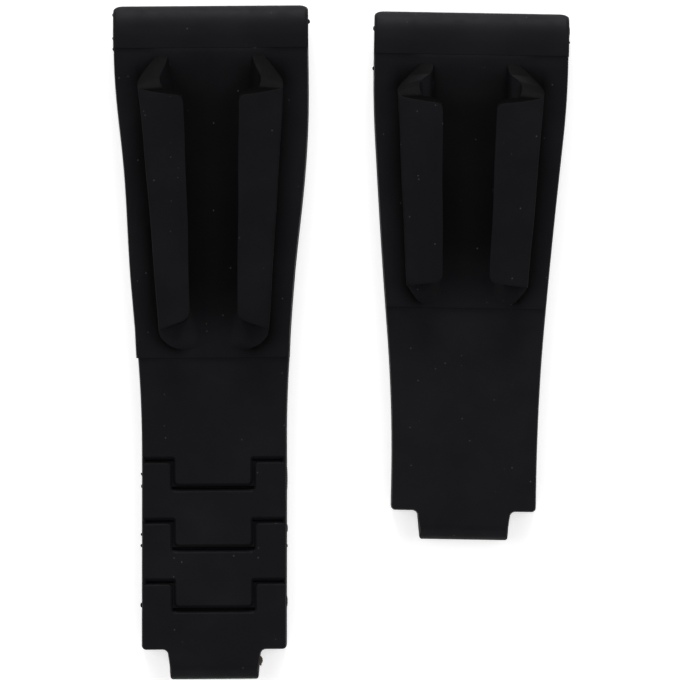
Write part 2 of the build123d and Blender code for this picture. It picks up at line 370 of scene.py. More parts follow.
def apply_modifiers(piece):
    """Applies every modifier of a piece, in order."""
    make_active(piece)
    for modifier in list(piece.modifiers):
        bpy.ops.object.modifier_apply(modifier=modifier.name)


def round_edges(piece, width):
    """Rounds every sharp edge of a piece."""
    bevel = piece.modifiers.new("Edges", "BEVEL")
    bevel.width = width
    bevel.segments = 3
    bevel.limit_method = "ANGLE"
    bevel.angle_limit = radians(50)
    apply_modifiers(piece)


def join(piece, other):
    """Makes another object part of a piece."""
    make_active(piece)
    other.select_set(True)
    bpy.ops.object.join()


def cut_away(piece, cutter):
    """Cuts one closed shape out of another and removes the cutter."""
    cut = piece.modifiers.new("Cut", "BOOLEAN")
    cut.operation = "DIFFERENCE"
    cut.solver = "EXACT"
    cut.object = cutter
    apply_modifiers(piece)
    bpy.data.objects.remove(cutter)


def across_rod(radius, station, height, reach, rounds=40):
    """A rod that lies across the strap, used to cut a hole."""
    clear_selection()
    bpy.ops.mesh.primitive_cylinder_add(
        vertices=rounds, radius=radius, depth=reach, location=(0, -station, height), rotation=(0, pi / 2, 0))
    rod = bpy.context.object
    bpy.ops.object.transform_apply(location=True, rotation=True, scale=True)
    return rod


def add_loops(piece, stations):
    """Cuts rings of edges across a piece, so that it can bend there."""
    make_active(piece)
    bpy.ops.object.mode_set(mode="EDIT")
    for station in stations:
        bpy.ops.mesh.select_all(action="SELECT")
        bpy.ops.mesh.bisect(plane_co=(0, -station, 0), plane_no=(0, 1, 0))
    bpy.ops.object.mode_set(mode="OBJECT")


def keep_between(piece, start, end):
    """Keeps the stretch between two stations and closes its cut ends."""
    make_active(piece)
    bpy.ops.object.mode_set(mode="EDIT")
    for station, inner in ((start, False), (end, True)):
        if station is not None:
            bpy.ops.mesh.select_all(action="SELECT")
            bpy.ops.mesh.bisect(
                plane_co=(0, -station, 0), plane_no=(0, 1, 0), use_fill=True,
                clear_inner=inner, clear_outer=not inner)
    bpy.ops.object.mode_set(mode="OBJECT")


def add_flash(piece, half, start, end, centre_at):
    """Joins the mould's scraps to a piece's sides between two stations, given where its middle lies."""
    height = 0.12 * MM
    for side, station, reach, span in FLASH[half.name]:
        if start <= station * MM < end:
            clear_selection()
            bpy.ops.mesh.primitive_ico_sphere_add(subdivisions=2, radius=1)
            scrap = bpy.context.object
            station, reach, span = station * MM, reach * MM, span * MM
            across = centre_at(half, station) + side * half_width(half, station)
            place = Vector((across, -station, CARCASS_TOP))
            scrap.data.transform(Matrix.LocRotScale(place, None, Vector((reach, span / 2, height))))
            join(piece, scrap)


def settle(piece, half, angle=32):
    """Smooths a finished piece, puts it in its half's place and leaves its object at the origin."""
    piece.data.transform(half.matrix)
    make_active(piece)
    bpy.ops.object.shade_smooth_by_angle(angle=radians(angle))
    level = piece.modifiers.new("Flats", "WEIGHTED_NORMAL")
    level.keep_sharp = True
    apply_modifiers(piece)
    piece.data.update()


def paint_shade_on(piece, shade_for):
    """Writes how much shade is painted on each corner of a piece, given how sheltered it is: 0 where none is
    painted.
    """
    recess = piece.data.attributes.new("recess", "FLOAT", "POINT")
    for corner, value in zip(piece.data.vertices, recess.data):
        value.value = min(max(SHADE_STRENGTH * shade_for(corner.co, corner.normal), 0), 1)


def dress(piece, material, slot, *nodes):
    """Gives a piece its material and hides the packed parts that it stands for; the slot is not used."""
    piece.data.materials.clear()
    piece.data.materials.append(material)
    if nodes:
        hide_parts(*nodes)


def ramp(value, start, run):
    """How far a value has come along a run from its start: 0 before it, and 1 past it."""
    return min(max((value - start) / run, 0), 1)


def part_way(first, last, share):
    """The value that lies a share of the way from one to another."""
    return first + (last - first) * share


def eased(reach, past, slope):
    """How far a line has turned off after a bend that is rounded over a reach each side of it."""
    if past <= -reach:
        return 0.0
    if past < reach:
        return slope * (past + reach) ** 2 / (4 * reach)
    return slope * past


def half_width(half, station):
    """Half the strap's width at a station, with both bends of its taper rounded."""
    size = sizes()
    slope = (LUG_WIDTH - TAIL_WIDTH) / 2 / (size.taper_to - size.taper_from)
    last = {"long": size.taper_ease[0], "short": size.taper_ease[1]}[half.name]
    drawn = eased(size.taper_reach, station - size.taper_from, slope)
    return LUG_WIDTH / 2 - drawn + eased(last, station - size.taper_to, slope)


def swell(station, start, end):
    """A smooth rise and fall from nothing to one and back between two stations."""
    return sin(pi * ramp(station, start, end - start)) ** 2


def bow(half, station):
    """How far both edges of the pad lie to one side at a station, as moulded rubber is not quite straight."""
    if half is SHORT:
        return -0.14 * MM * swell(station, 3 * MM, 46 * MM)
    return 0.07 * MM + 0.31 * MM * swell(station, 4 * MM, 29 * MM)


def fin_bow(half, station):
    """The same for the fins."""
    if half is SHORT:
        return -0.07 * MM
    return 0.24 * MM * sin(pi / 2 * ramp(station, 4 * MM, 11 * MM)) ** 2


def tail_bow(half, station):
    """The same for the tail, which sets off a little to one side of the long half's pad."""
    if half is SHORT:
        return bow(half, station)
    return 0.15 * MM * (1 - swell(max(station, 44 * MM), 44 * MM, 88 * MM))


def pad_width(half, station):
    """Half the width of the cushioned length, which spreads a little at the long half's pad end."""
    if half is SHORT:
        return half_width(half, station)
    reach = 3.4 * MM
    flare = sizes().pad_flare * swell(station, half.flex - reach, half.flex + reach)
    return half_width(half, station) + flare


def crown(half, station):
    """Height of the wrist side: full at the head bar, falling gently into the pad."""
    size = sizes()
    fallen = ramp(station, size.nose_depth, size.crown_end - size.nose_depth)
    return PAD_TOP + (half.head_height - PAD_TOP) * (1 + cos(pi * fallen)) / 2


def smooth_line(points, steps):
    """A smooth line through points, with that many steps between each two."""
    line = []
    padded = [points[0], *points, points[-1]]
    for before, start, end, after in zip(padded, padded[1:], padded[2:], padded[3:]):
        for step in range(steps):
            t = step / steps
            line.append(tuple(
                0.5 * (2 * b + (c - a) * t + (2 * a - 5 * b + 4 * c - d) * t * t
                       + (3 * b - a - 3 * c + d) * t ** 3)
                for a, b, c, d in zip(before, start, end, after)))
    line.append(tuple(points[-1]))
    return line


def rounded(corners, steps=5):
    """An outline through corners of (x, y, radius), each turned into an arc of its radius."""
    outline = []
    for index, (x, y, radius) in enumerate(corners):
        corner = Vector((x, y))
        before = (Vector(corners[index - 1][:2]) - corner).normalized()
        after = (Vector(corners[(index + 1) % len(corners)][:2]) - corner).normalized()
        if radius <= 0:
            outline.append((x, y))
            continue
        half_angle = before.angle(after) / 2
        middle = corner + (before + after).normalized() * radius / sin(half_angle)
        first = corner + before * radius / tan(half_angle) - middle
        last = corner + after * radius / tan(half_angle) - middle
        turn = first.angle_signed(last)
        for step in range(steps + 1):
            outline.append(tuple(middle + Matrix.Rotation(-turn * step / steps, 2) @ first))
    return outline


def drawn_in(corners, inset, least=0.04 * MM):
    """Corners of (x, y, radius), anticlockwise, moved inwards by an inset, with their radii kept in step."""
    moved = []
    for index, (x, y, radius) in enumerate(corners):
        last, following = corners[index - 1], corners[(index + 1) % len(corners)]
        first = Vector((y - last[1], last[0] - x)).normalized()
        second = Vector((following[1] - y, x - following[0])).normalized()
        shift = (first + second) * inset / (1 + first.dot(second))
        convex = first.x * second.y > first.y * second.x
        kept = max(radius - inset if convex else radius + inset, least) if radius else 0
        moved.append((x - shift.x, y - shift.y, kept))
    return moved


class STRAP_OT_carcass(bpy.types.Operator):
    """Model each half's outer strip with its round head bar and head bore"""

    bl_idname = "strap.carcass"
    bl_label = "Carcasses"

    def execute(self, context):
        for half in HALVES.values():
            piece = self.strip(half)
            middle = half.head_height / 2
            cut_away(piece, across_rod(HEAD_TUBE + BORE_GAP, middle, middle, 2 * LUG_WIDTH, rounds=64))
            add_flash(piece, half, 0, half.flex, bow)
            settle(piece, half)
            dress(piece, rubber(), "black_rubber", f"{half.name}_carcass")
            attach(piece, half.main)
        return {"FINISHED"}

    def strip(self, half):
        """The strip as one closed block, rounded at its nose and along its sides."""
        size = sizes()
        middle = half.head_height / 2
        turns = 4
        levels = 13
        head_steps = 5
        pad_steps = 14
        angles = [k * pi / 2 / turns for k in range(turns + 1)]
        edges = [(size.edge_round * (1 - cos(angle)), size.edge_round * (1 - sin(angle))) for angle in angles]
        shares = (0.7, 0.35)
        columns = [(-1, *e) for e in edges] + [(-s, None, 0) for s in shares] + [(0, None, 0)]
        columns += [(s, None, 0) for s in reversed(shares)] + [(1, *e) for e in reversed(edges)]
        drop = size.head_end
        step_length = 0.01 * MM
        upper = [size.nose_depth + (drop - size.brow - size.nose_depth) * k / head_steps
                 for k in range(head_steps + 1)]
        brow = [drop - size.brow * share for share in (0.6, 0.3, 0.1, 0)]
        rows = [None] + upper + brow + [drop + step_length]
        rows += [drop + (half.flex - drop) * k / pad_steps for k in range(1, pad_steps + 1)]

        def top(station):
            if station > drop:
                return CARCASS_TOP
            share = max(station - drop + size.brow, 0) / size.brow
            return crown(half, station) - size.brow * (1 - sqrt(max(1 - share ** 2, 0)))

        def place(column, row, level):
            side, offset, inset = columns[column]
            turn = pi * level / (levels - 1)
            if row == 0:
                station = size.nose_depth - (size.nose_depth - inset) * sin(turn)
                height = middle - (middle - inset) * cos(turn)
            else:
                station = rows[row]
                low, high = inset, top(station) - inset
                height = low + (high - low) * (1 - cos(turn)) / 2
            corner = size.head_corner
            nip = 0.0
            if station < corner:
                nip = corner - sqrt(corner ** 2 - (corner - station) ** 2)
            reach = pad_width(half, station) - nip
            x = side * reach if offset is None else side * (reach - offset)
            return (x + bow(half, station), -station, height)

        return block(f"{half.name}_carcass_rubber", len(columns), len(rows), levels, place)


class STRAP_OT_cushion(bpy.types.Operator):
    """Model the pad that covers each half's carcass on the wrist side"""

    bl_idname = "strap.cushion"
    bl_label = "Cushion Pads"

    def execute(self, context):
        size = sizes()
        seam = 0.015 * MM
        near = 0.01 * MM
        rows = 61
        columns = 41
        for half in HALVES.values():
            start = size.head_end + seam

            def place(column, row, level):
                station = start + (half.flex - start) * row / (rows - 1)
                share = 2 * column / (columns - 1) - 1
                reach = pad_width(half, station) - size.side_draft * level
                height = crown(half, station) if level else CARCASS_TOP
                return (share * reach + bow(half, station), -station, height)

            piece = block(f"{half.name}_cushion_rubber", columns, rows, 2, place)

            def on_side(first, second):
                return min(first.z, second.z) > CARCASS_TOP + near and all(
                    abs(abs(p.x - bow(half, -p.y)) - pad_width(half, -p.y) + size.side_draft) < near
                    for p in (first, second))

            def on_end(first, second):
                return min(first.z, second.z) > CARCASS_TOP + near and any(
                    abs(first.y + s) < near and abs(second.y + s) < near for s in (start, half.flex))

            bevel_edges(piece, size.pad_end_edge, segments=2, chosen=on_end)
            bevel_edges(piece, size.pad_edge, segments=4, chosen=on_side)
            line = smooth_line(BENDS[half.name], steps=5)
            for side in SIDES.values():
                bend = self.bend(half, side, line)
                round_edges(bend, width=0.12 * MM)
                join(piece, bend)
            # Shade is painted on the pad between the fins, along their bends and behind the head bar
            paint_shade_on(piece, lambda place, facing: self.shade_to_paint(half, place, line))
            settle(piece, half)
            dress(piece, rubber(), "black_rubber", f"{half.name}_cushion")
            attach(piece, half.main)
        return {"FINISHED"}

    def shade_to_paint(self, half, place, line):
        """How much shade is painted on a place on the pad: most between the fins and along the line of their
        bends.
        """
        across, station = abs(place.x), -place.y
        start, end = getattr(sizes(), f"{half.name}_fin")
        rim = part_way(*getattr(sizes(), f"{half.name}_rim"), (station - start) / (end - start))

        # Past the fin's rim the painted shade fades, and sooner where the fin comes to its tail end
        beyond = max(across - rim, 0)
        fading_reach = part_way(0.9, 0.5, ramp(station, end - 14 * MM, 8 * MM)) * MM
        fading = 1.3 * exp(-beyond / fading_reach) if beyond else 1

        # It comes on behind the head bar and goes off towards the tail, over a shorter run beside the fins
        beside = ramp(across, 1.6 * MM, 2.4 * MM)
        outside = ramp(beyond, 0, 0.3 * MM)
        first = start - part_way(0.2, -0.5, beside) * MM
        last = end + part_way(1.5, -0.6, outside) * MM
        coming = ramp(station, first, part_way(5.0, 2.2, beside) * MM)
        going = ramp(last - station, 0, part_way(8.0, 2.2, outside) * MM)
        hollow = coming ** 0.75 * going * fading

        # A line of painted shade follows the fins' bends, and another one the seam behind the head bar
        out = abs(place.x - fin_bow(half, station))
        crease_reach = 0.45 * MM
        crease = max(ramp(height, 0, 0.7) * exp(-hypot(out - x * MM, station - y * MM) / crease_reach)
                     for x, y, height, *_ in line)
        behind_head = max(1 - (station - sizes().head_end) / (0.5 * MM), 0)
        seam = ramp(across, 5 * MM, 1.5 * MM) * behind_head

        above = ramp(place.z - crown(half, station), 0.02 * MM, 0.6 * MM)
        return max(max(hollow, 1.5 * crease) * (1 - above), 0.9 * seam)

    def bend(self, half, side, line):
        """The low wall that turns in and closes a fin at its tail end, and runs out on the pad inside."""
        lean = sizes().bend_lean
        columns = 15
        sunk = 0.3 * MM
        end_drop = 0.02 * MM
        fullness = 0.8

        def place(column, row, level):
            across, station, height, foot_across, foot_station = (MM * value for value in line[row])
            share = column / (columns - 1)
            if level == 0:
                tucked = lean * height / hypot(foot_across - across, foot_station - station)
                share = tucked + (1 - tucked) * share
                rise = -sunk
            else:
                rise = height * (1 + cos(pi * share ** fullness)) / 2 - end_drop * share
            across += (foot_across - across) * share
            station += (foot_station - station) * share
            return (side * across + fin_bow(half, station), -station, PAD_TOP + rise)

        return block("fin_bend", columns, len(line), 2, place)


class STRAP_OT_fins(bpy.types.Operator):
    """Model the four folded fins that stand on the pads"""

    bl_idname = "strap.fins"
    bl_label = "Cushion Fins"

    def execute(self, context):
        for half in HALVES.values():
            for side_name, side in SIDES.items():
                piece = self.fin(half, side_name, side)
                round_edges(piece, width=0.15 * MM)
                # Shade is painted on the fin's faces that turn to the channel, down to the pad or to the head, and
                # lightly on the flaps
                paint_shade_on(piece, lambda place, facing: self.shade_to_paint(side, facing))
                settle(piece, half, angle=40)
                start, end = self.fold(half, side_name)
                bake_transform(piece)
                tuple(start)
                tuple(end)
                dress(piece, rubber(), "black_rubber",
                      f"{half.name}_{side_name}_fin_wall", f"{half.name}_{side_name}_fin_flap")
        return {"FINISHED"}

    def shade_to_paint(self, side, facing):
        """How much shade is painted on a fin's corner: most where it faces the channel, the pad or the head."""
        to_channel = min(-2 * side * facing.x - 0.7, 0.7)
        to_pad = (0.1 - facing.z) / 0.3
        to_head = 2 * facing.y
        return max(to_channel, to_pad, to_head, sizes().flap_shade)

    def fin(self, half, side_name, side):
        """A fin as one closed block: up its leaning wall, round the rim and in over the channel."""
        size = sizes()
        stations, root, rim, lip, ends = (
            getattr(size, f"{half.name}_{word}") for word in ("fin", "root", "rim", "lip", "ends"))
        rise = FIN_TOP - PAD_TOP
        steps = 4
        rows = 61
        seed = {"long": 0.0, "short": 3.1}[half.name] + side
        further = size.right_reach if half is SHORT and side > 0 else 0
        wall_height = 2.8 * MM
        brink_height = 2.78 * MM
        corner = 0.75 * MM
        head_nip = 0.9

        def section(share):
            """Both sides of a section, across and up: six points for the wall and four for the flap."""
            foot, fold, tip = part_way(*root, share), part_way(*rim, share), part_way(*lip, share) - further
            fold_in = fold - 2.15 * MM
            brink = fold - 0.16 * MM
            outer = [(foot + 0.45 * MM, -0.25 * MM), (foot + 0.12 * MM, 0.2 * MM),
                     (foot + 0.45 * (fold - foot), 1.0 * MM), (fold - 0.12 * MM, 2.05 * MM),
                     (fold, 2.55 * MM), (brink, brink_height)]
            inner = [(foot - 1.35 * MM, -0.25 * MM), (foot - 1.15 * MM, 0.2 * MM),
                     (foot - 0.8 * MM, 1.0 * MM), (fold_in - 0.25 * MM, 1.6 * MM),
                     (fold_in - 0.1 * MM, 2.0 * MM), (fold_in - 0.35 * MM, 2.35 * MM)]
            for part in (0.25, 0.5, 0.75, 1.0):
                top = brink_height + (rise - brink_height) * (1 - (1 - part) ** 1.7)
                thick = (0.5 - 0.08 * part) * MM
                outer.append((part_way(brink, tip, part), top))
                inner.append((part_way(fold_in - 0.35 * MM, tip, part), top - thick))
            return smooth_line(outer, steps), smooth_line(inner, steps)

        columns = len(section(0)[0])

        def place(column, row, level):
            share = row / (rows - 1)
            out, height = section(share)[level][column]
            fold, tip = part_way(*rim, share), part_way(*lip, share) - further
            from_lip = max(corner - (out - tip), 0)
            nip = corner - sqrt(max(corner ** 2 - min(from_lip, corner) ** 2, 0))
            climb = max(height, 0) / rise
            wall = ramp(height, 0, wall_height)
            flap = max(height - wall_height, 0) / (rise - wall_height)
            if level == 1:
                wall += (1 - wall) * ramp(column, 4 * steps, 1.5 * steps)
            start = stations[0] + size.head_slant[0] * wall + size.head_slant[1] * flap + head_nip * nip
            inboard = (1 if level else wall ** 4) * ramp(fold - out, 0, fold - tip)
            end = stations[1] - ends[0] - ends[1] * inboard - nip
            station = part_way(start, end, share)
            long_wave = 0.035 * MM * climb * sin(station / (4.3 * MM) + seed)
            short_wave = 0.03 * MM * climb * sin(station / (1.7 * MM) + 2 * seed)
            across = out + (long_wave + short_wave)
            return (side * across + fin_bow(half, station), -station, PAD_TOP + height)

        return block(f"{half.name}_{side_name}_fin", columns, rows, 2, place)

    def fold(self, half, side_name):
        """Two points across the fold: the joint's own point, and one a short reach further in and up."""
        joint = joint_named(f"{half.name}_{side_name}_flap_fold")
        reach = 0.9 * MM
        start = Vector(joint["pos_m"])
        inwards = Vector(joint["axis"]).cross(Vector((0, 0, 1)))
        middle = half.at(0, half.station(start), start.z)
        if inwards.dot(middle - start) < 0:
            inwards.negate()
        return start, start + (inwards + Vector((0, 0, 1))).normalized() * reach


def tail_outline(half, height):
    """The tail's outline at a height: rounded below and above, drawn in towards the wrist side."""
    size = sizes()
    top = half.tail_height
    shoulder = half.length - size.tongue_length[half is SHORT]
    radius = top / 2
    tip = half.length - radius + sqrt(max(radius ** 2 - (height - radius) ** 2, 0))
    low = max(size.edge_round - height, 0) / size.edge_round
    high = max(height - top + size.pad_edge, 0) / size.pad_edge
    inset = size.edge_round * (1 - sqrt(1 - low ** 2)) + size.pad_edge * (1 - sqrt(1 - high ** 2))
    inset += size.side_draft * ramp(height, CARCASS_TOP, top - CARCASS_TOP)
    start = half.flex
    root, end = size.tongue_widths
    eased_to = size.taper_to + max(size.taper_ease)
    steps = 12
    tongue_corner = 0.3 * MM
    bends = [start + (eased_to - start) * k / steps for k in range(steps + 1)]
    shift = size.tongue_shift if half is SHORT else 0
    right = [(half_width(half, station), -station, 0, 0) for station in bends] + [
        (TAIL_WIDTH / 2, -shoulder, size.shoulder_round, 0),
        (root / 2, -shoulder, size.tongue_root, shift),
        (end / 2, -half.length, tongue_corner, shift),
    ]
    corners = [(lean - x, y, r) for x, y, r, lean in right]
    corners += [(lean + x, y, r) for x, y, r, lean in reversed(right)]
    outline = [(x + tail_bow(half, -y), max(y, -tip), height) for x, y in rounded(drawn_in(corners, inset))]
    for corner in (0, -1):
        outline[corner] = (outline[corner][0], -start, height)
    return outline


def tail_levels(half):
    """Heights at which the tail's outline is raised, close together where it is rounded."""
    size = sizes()
    top = half.tail_height
    below = [size.edge_round * share for share in (0, 0.1, 0.35, 0.65, 1)]
    above = [top - size.pad_edge * share for share in (1, 0.6, 0.25, 0.05, 0)]
    return below + [top * 0.28, top * 0.42, top * 0.56, CARCASS_TOP, top * 0.84] + above


class STRAP_OT_tails(bpy.types.Operator):
    """Model both tails: the long one with its cut lines and pin holes, the short one plain"""

    bl_idname = "strap.tails"
    bl_label = "Tails and Links"

    def execute(self, context):
        size = sizes()
        bend = 2.8 * MM
        past_bend = 1.2 * MM
        past_groove = 0.1 * MM
        loops = 6
        whole = self.blank(LONG)
        grooves = [size.first_groove + size.groove_pitch * k for k in range(CUT_LINES)]
        for groove in grooves:
            for cutter in self.groove(groove):
                cut_away(whole, cutter)
            hole = groove + size.hole_lead
            cut_away(whole, across_rod(size.link_hole, hole, LONG.tail_height / 2, LUG_WIDTH))
        nodes = ["long_tail", "first_link", "second_link", "end_link"]
        turns = [(LONG.flex, LONG.flex + bend)] + [
            (groove - past_groove, groove + size.groove_lead + past_groove) for groove in grooves]
        seams = [None, LONG.flex + bend + past_bend] + [
            (a + size.groove_lead + b) / 2 for a, b in zip(grooves, grooves[1:])] + [None]
        for index, (name, (start, end)) in enumerate(zip(nodes, turns)):
            piece = whole.copy()
            piece.data = whole.data.copy()
            piece.name = piece.data.name = f"{name}_rubber"
            context.collection.objects.link(piece)
            add_loops(piece, [start + (end - start) * k / loops for k in range(loops + 1)])
            keep_between(piece, seams[index], seams[index + 1])
            add_flash(piece, LONG, seams[index] or LONG.flex, seams[index + 1] or LONG.length, tail_bow)
            # Shade is painted in the cut lines' deep slots
            paint_shade_on(piece, self.slot_shade)
            settle(piece, LONG)
            LONG.at(0, start, 0)
            LONG.at(0, end, 0)
            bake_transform(piece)
            dress(piece, rubber(), "black_rubber", name)
        bpy.data.objects.remove(whole)
        self.burr()
        short = self.blank(SHORT)
        short.name = short.data.name = "short_tail_rubber"
        add_loops(short, [SHORT.flex + bend * k / loops for k in range(1, loops + 1)])
        settle(short, SHORT)
        SHORT.at(0, SHORT.flex, 0)
        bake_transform(short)
        dress(short, rubber(), "black_rubber", "short_tail")
        return {"FINISHED"}

    def burr(self):
        """The torn flake of flash beside the long half's tongue."""
        clear_selection()
        bpy.ops.mesh.primitive_ico_sphere_add(subdivisions=3, radius=1)
        flake = bpy.context.object
        flake.name = flake.data.name = "end_link_burr"
        middle = Vector((4.58 * MM, -67.25 * MM, 2.2 * MM))
        reach, span, thick, skew = 0.34, 0.52, 0.16, 0.12
        for corner in flake.data.vertices:
            x, y, z = corner.co
            torn = 1 + 0.18 * sin(7 * x + 3 * y) + 0.12 * sin(9 * z - 5 * y)
            corner.co = middle + Vector((reach * x * torn, span * y * torn - skew * x, thick * z)) * MM
        settle(flake, LONG)
        make = Nodes("burr_rubber")
        make.shader.inputs["Base Color"].default_value = opaque(finish().burr)
        make.shader.inputs["Roughness"].default_value = 0.7
        make.shader.inputs["Specular IOR Level"].default_value = 0.1
        dress(flake, make.material, "black_rubber")
        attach(flake, "end_link_section")

    def blank(self, half):
        """A tail before its cut lines are made, with the bore for its tube."""
        piece = slab(f"{half.name}_tail_blank", tail_levels(half), lambda height: tail_outline(half, height))
        middle = half.tail_height / 2
        cut_away(piece, across_rod(TAIL_TUBE + BORE_GAP, half.tail_bore, middle, LUG_WIDTH, rounds=48))
        return piece

    def slot_shade(self, place, facing):
        """How much shade is painted on a corner that lies in a cut line's deep slots."""
        size = sizes()
        near = 0.01 * MM
        lit = 0.22 * MM
        fading = 0.5 * MM
        deepest = 0.4
        last_groove = size.first_groove + (CUT_LINES - 1) * size.groove_pitch
        last = last_groove + size.groove_lead + size.groove_width
        left, right = (TAIL_WIDTH / 2 - web for web in size.groove_web)
        if not (-left < place.x < right and -place.y < last and place.z > size.groove_floor - near):
            return 0
        return min((LONG.tail_height - lit - place.z) / fading, deepest)

    def groove(self, station):
        """The shapes that one cut line takes out: a shallow line, and deeper slots at its ends and middle."""
        size = sizes()
        top = LONG.tail_height
        left_end, right_end = (TAIL_WIDTH / 2 - web for web in size.groove_web)
        half = size.groove_width / 2
        inner, outer = size.groove_reach - size.groove_leg / 2, size.groove_reach + size.groove_leg / 2
        ahead, behind = -(station - half), -(station + half)
        middle_ahead, middle_behind = ahead - size.groove_lead + size.groove_slope, behind - size.groove_lead
        tight, corner = 0.1 * MM, 0.3 * MM
        wide_corner = 1.8 * corner
        left, right = ([
            (end, behind, tight), (end, ahead, tight), (inner, ahead, corner), (inner, middle_ahead, corner),
        ] for end in (left_end, right_end))
        left = [(-x, y, r) for x, y, r in reversed(left)]
        back = [(-outer, behind, corner), (-outer, middle_behind, wide_corner),
                (outer, middle_behind, wide_corner), (outer, behind, corner)]

        # How far below the top face each outline of the shallow line lies, and its inset, in millimetres
        shallow = ((0.38, 0.26), (0.26, 0.19), (0.13, 0.1), (0.05, 0.03), (0, 0), (-0.3, 0))
        yield self.cutter(right + left + back, {top - below * MM: inset * MM for below, inset in shallow})

        # The slots run along the shallow line's bottom, stop short of its corners and narrow downwards
        deep, wide = 0.5 * size.slot_width, 0.5 * (size.slot_width + size.groove_slope)
        short = 0.2 * MM
        narrowest = 0.04 * MM
        bars = [(-left_end, -inner, -station, deep), (inner, right_end, -station, deep),
                (-outer, outer, middle_behind + half + 0.5 * size.groove_slope, wide)]
        for x1, x2, y, out in bars:
            outline = [(x1 + short, y + out, deep / 2), (x1 + short, y - out, deep / 2),
                       (x2 - short, y - out, deep / 2), (x2 - short, y + out, deep / 2)]
            yield self.cutter(outline, {
                size.groove_floor: out - narrowest, top - 0.38 * MM: 0.01 * MM, top - 0.34 * MM: 0.0,
                top - 0.2 * MM: 0.0})

    def cutter(self, corners, insets):
        """A closed shape raised through heights, each with its own inset."""
        return slab("cut_line", list(insets), lambda height: [
            (x, y, height) for x, y in rounded(drawn_in(corners, insets[height]), steps=4)])


class STRAP_OT_steel(bpy.types.Operator):
    """Give the tubes and the spring leaves their steel"""

    bl_idname = "strap.steel"
    bl_label = "Steel Parts"

    def execute(self, context):
        look = finish()
        tube = steel("drawn_tube_steel", look.tube, roughness=0.34)
        leaf = steel("spring_leaf_steel", look.leaf, roughness=0.28)
        for half in HALVES:
            for name, material in (("head_tube", tube), ("tail_tube", tube), ("spring_leaf", leaf)):
                node = frame["nodes"][f"{half}_{name}"]
                node.data.materials.clear()
                node.data.materials.append(material)
        return {"FINISHED"}


class Nodes:
    """Builds one material's nodes and links."""

    def __init__(self, name):
        self.material = bpy.data.materials.new(name)
        self.material.use_nodes = True
        self.tree = self.material.node_tree
        self.shader = self.tree.nodes["Principled BSDF"]
        self.place = self.add("ShaderNodeTexCoord").outputs["Object"]

    def add(self, kind, inputs=None, **settings):
        """Adds a node, sets its fields, and sets or links its inputs."""
        node = self.tree.nodes.new(kind)
        for field, value in settings.items():
            setattr(node, field, value)
        for name, value in (inputs or {}).items():
            if isinstance(value, bpy.types.NodeSocket):
                self.tree.links.new(value, node.inputs[name])
            else:
                node.inputs[name].default_value = value
        return node

    def link(self, output, name):
        """Links an output to one of the shader's inputs."""
        self.tree.links.new(output, self.shader.inputs[name])

    def noise(self, scale, detail=3.0, roughness=0.55, place=None):
        """Noise with so many waves to the metre."""
        node = self.add("ShaderNodeTexNoise", {
            "Vector": place or self.place, "Scale": scale, "Detail": detail, "Roughness": roughness})
        return node.outputs["Fac"]

    def between(self, value, low, high, first=0.0, last=1.0):
        """A value's range turned into another range, and kept inside it."""
        node = self.add("ShaderNodeMapRange", {
            "Value": value, "From Min": low, "From Max": high, "To Min": first, "To Max": last})
        return node.outputs["Result"]

    def mixed(self, share, first, second):
        """A colour between two others."""
        node = self.add("ShaderNodeMix", data_type="RGBA")
        for socket, value in ((node.inputs[0], share), (node.inputs[6], first), (node.inputs[7], second)):
            if isinstance(value, bpy.types.NodeSocket):
                self.tree.links.new(value, socket)
            else:
                socket.default_value = value
        return node.outputs[2]

    def maths(self, operation, first, second=0.0):
        """One value worked out from two."""
        return self.add("ShaderNodeMath", {0: first, 1: second}, operation=operation).outputs[0]


def opaque(tint):
    """A colour with its alpha."""
    return (*tint, 1.0)


def rubber():
    """Matt black moulded rubber: fine grain, faint rubbed patches, sparse dust, and painted shade in its hollows
    that darkens it and takes away its sheen.
    """
    found = bpy.data.materials.get("moulded_rubber")
    if found:
        return found
    look = finish()
    make = Nodes("moulded_rubber")
    patches = make.between(make.noise(160, detail=4), low=0.42, high=0.68)
    smudges = make.between(make.noise(900), low=0.45, high=0.75)
    recess = make.add("ShaderNodeAttribute", attribute_name="recess").outputs["Fac"]
    handled = make.mixed(patches, opaque(look.rubber), opaque(look.rubber_worn))
    # The painted shade darkens the rubber towards its shaded colour in the hollows
    base = make.mixed(recess, handled, opaque(look.rubber_deep))
    specks = make.add("ShaderNodeTexVoronoi", {"Vector": make.place, "Scale": 1150.0, "Randomness": 1.0})
    drawn = make.add("ShaderNodeSeparateColor", {"Color": specks.outputs["Color"]}).outputs["Red"]
    sparse = make.between(drawn, low=0.77, high=0.78)
    near = make.between(specks.outputs["Distance"], low=0.05, high=0.11, first=1.0, last=0.0)
    dust = make.maths("MULTIPLY", sparse, near)
    make.link(make.mixed(dust, base, opaque(look.dust)), "Base Color")
    smooth, smudged = look.rubber_roughness, look.rubber_roughness + 0.09
    make.link(make.between(smudges, low=0, high=1, first=smooth, last=smudged), "Roughness")
    # The sheen fades out where shade is painted
    make.link(make.between(recess, low=0, high=0.86, first=look.sheen, last=0), "Specular IOR Level")
    grain = make.maths("ADD", make.noise(5200, detail=2), make.maths("MULTIPLY", make.noise(1500), 0.8))
    bump = make.add("ShaderNodeBump", {"Height": grain, "Strength": look.grain, "Distance": 0.02 * MM})
    make.link(bump.outputs["Normal"], "Normal")
    return make.material


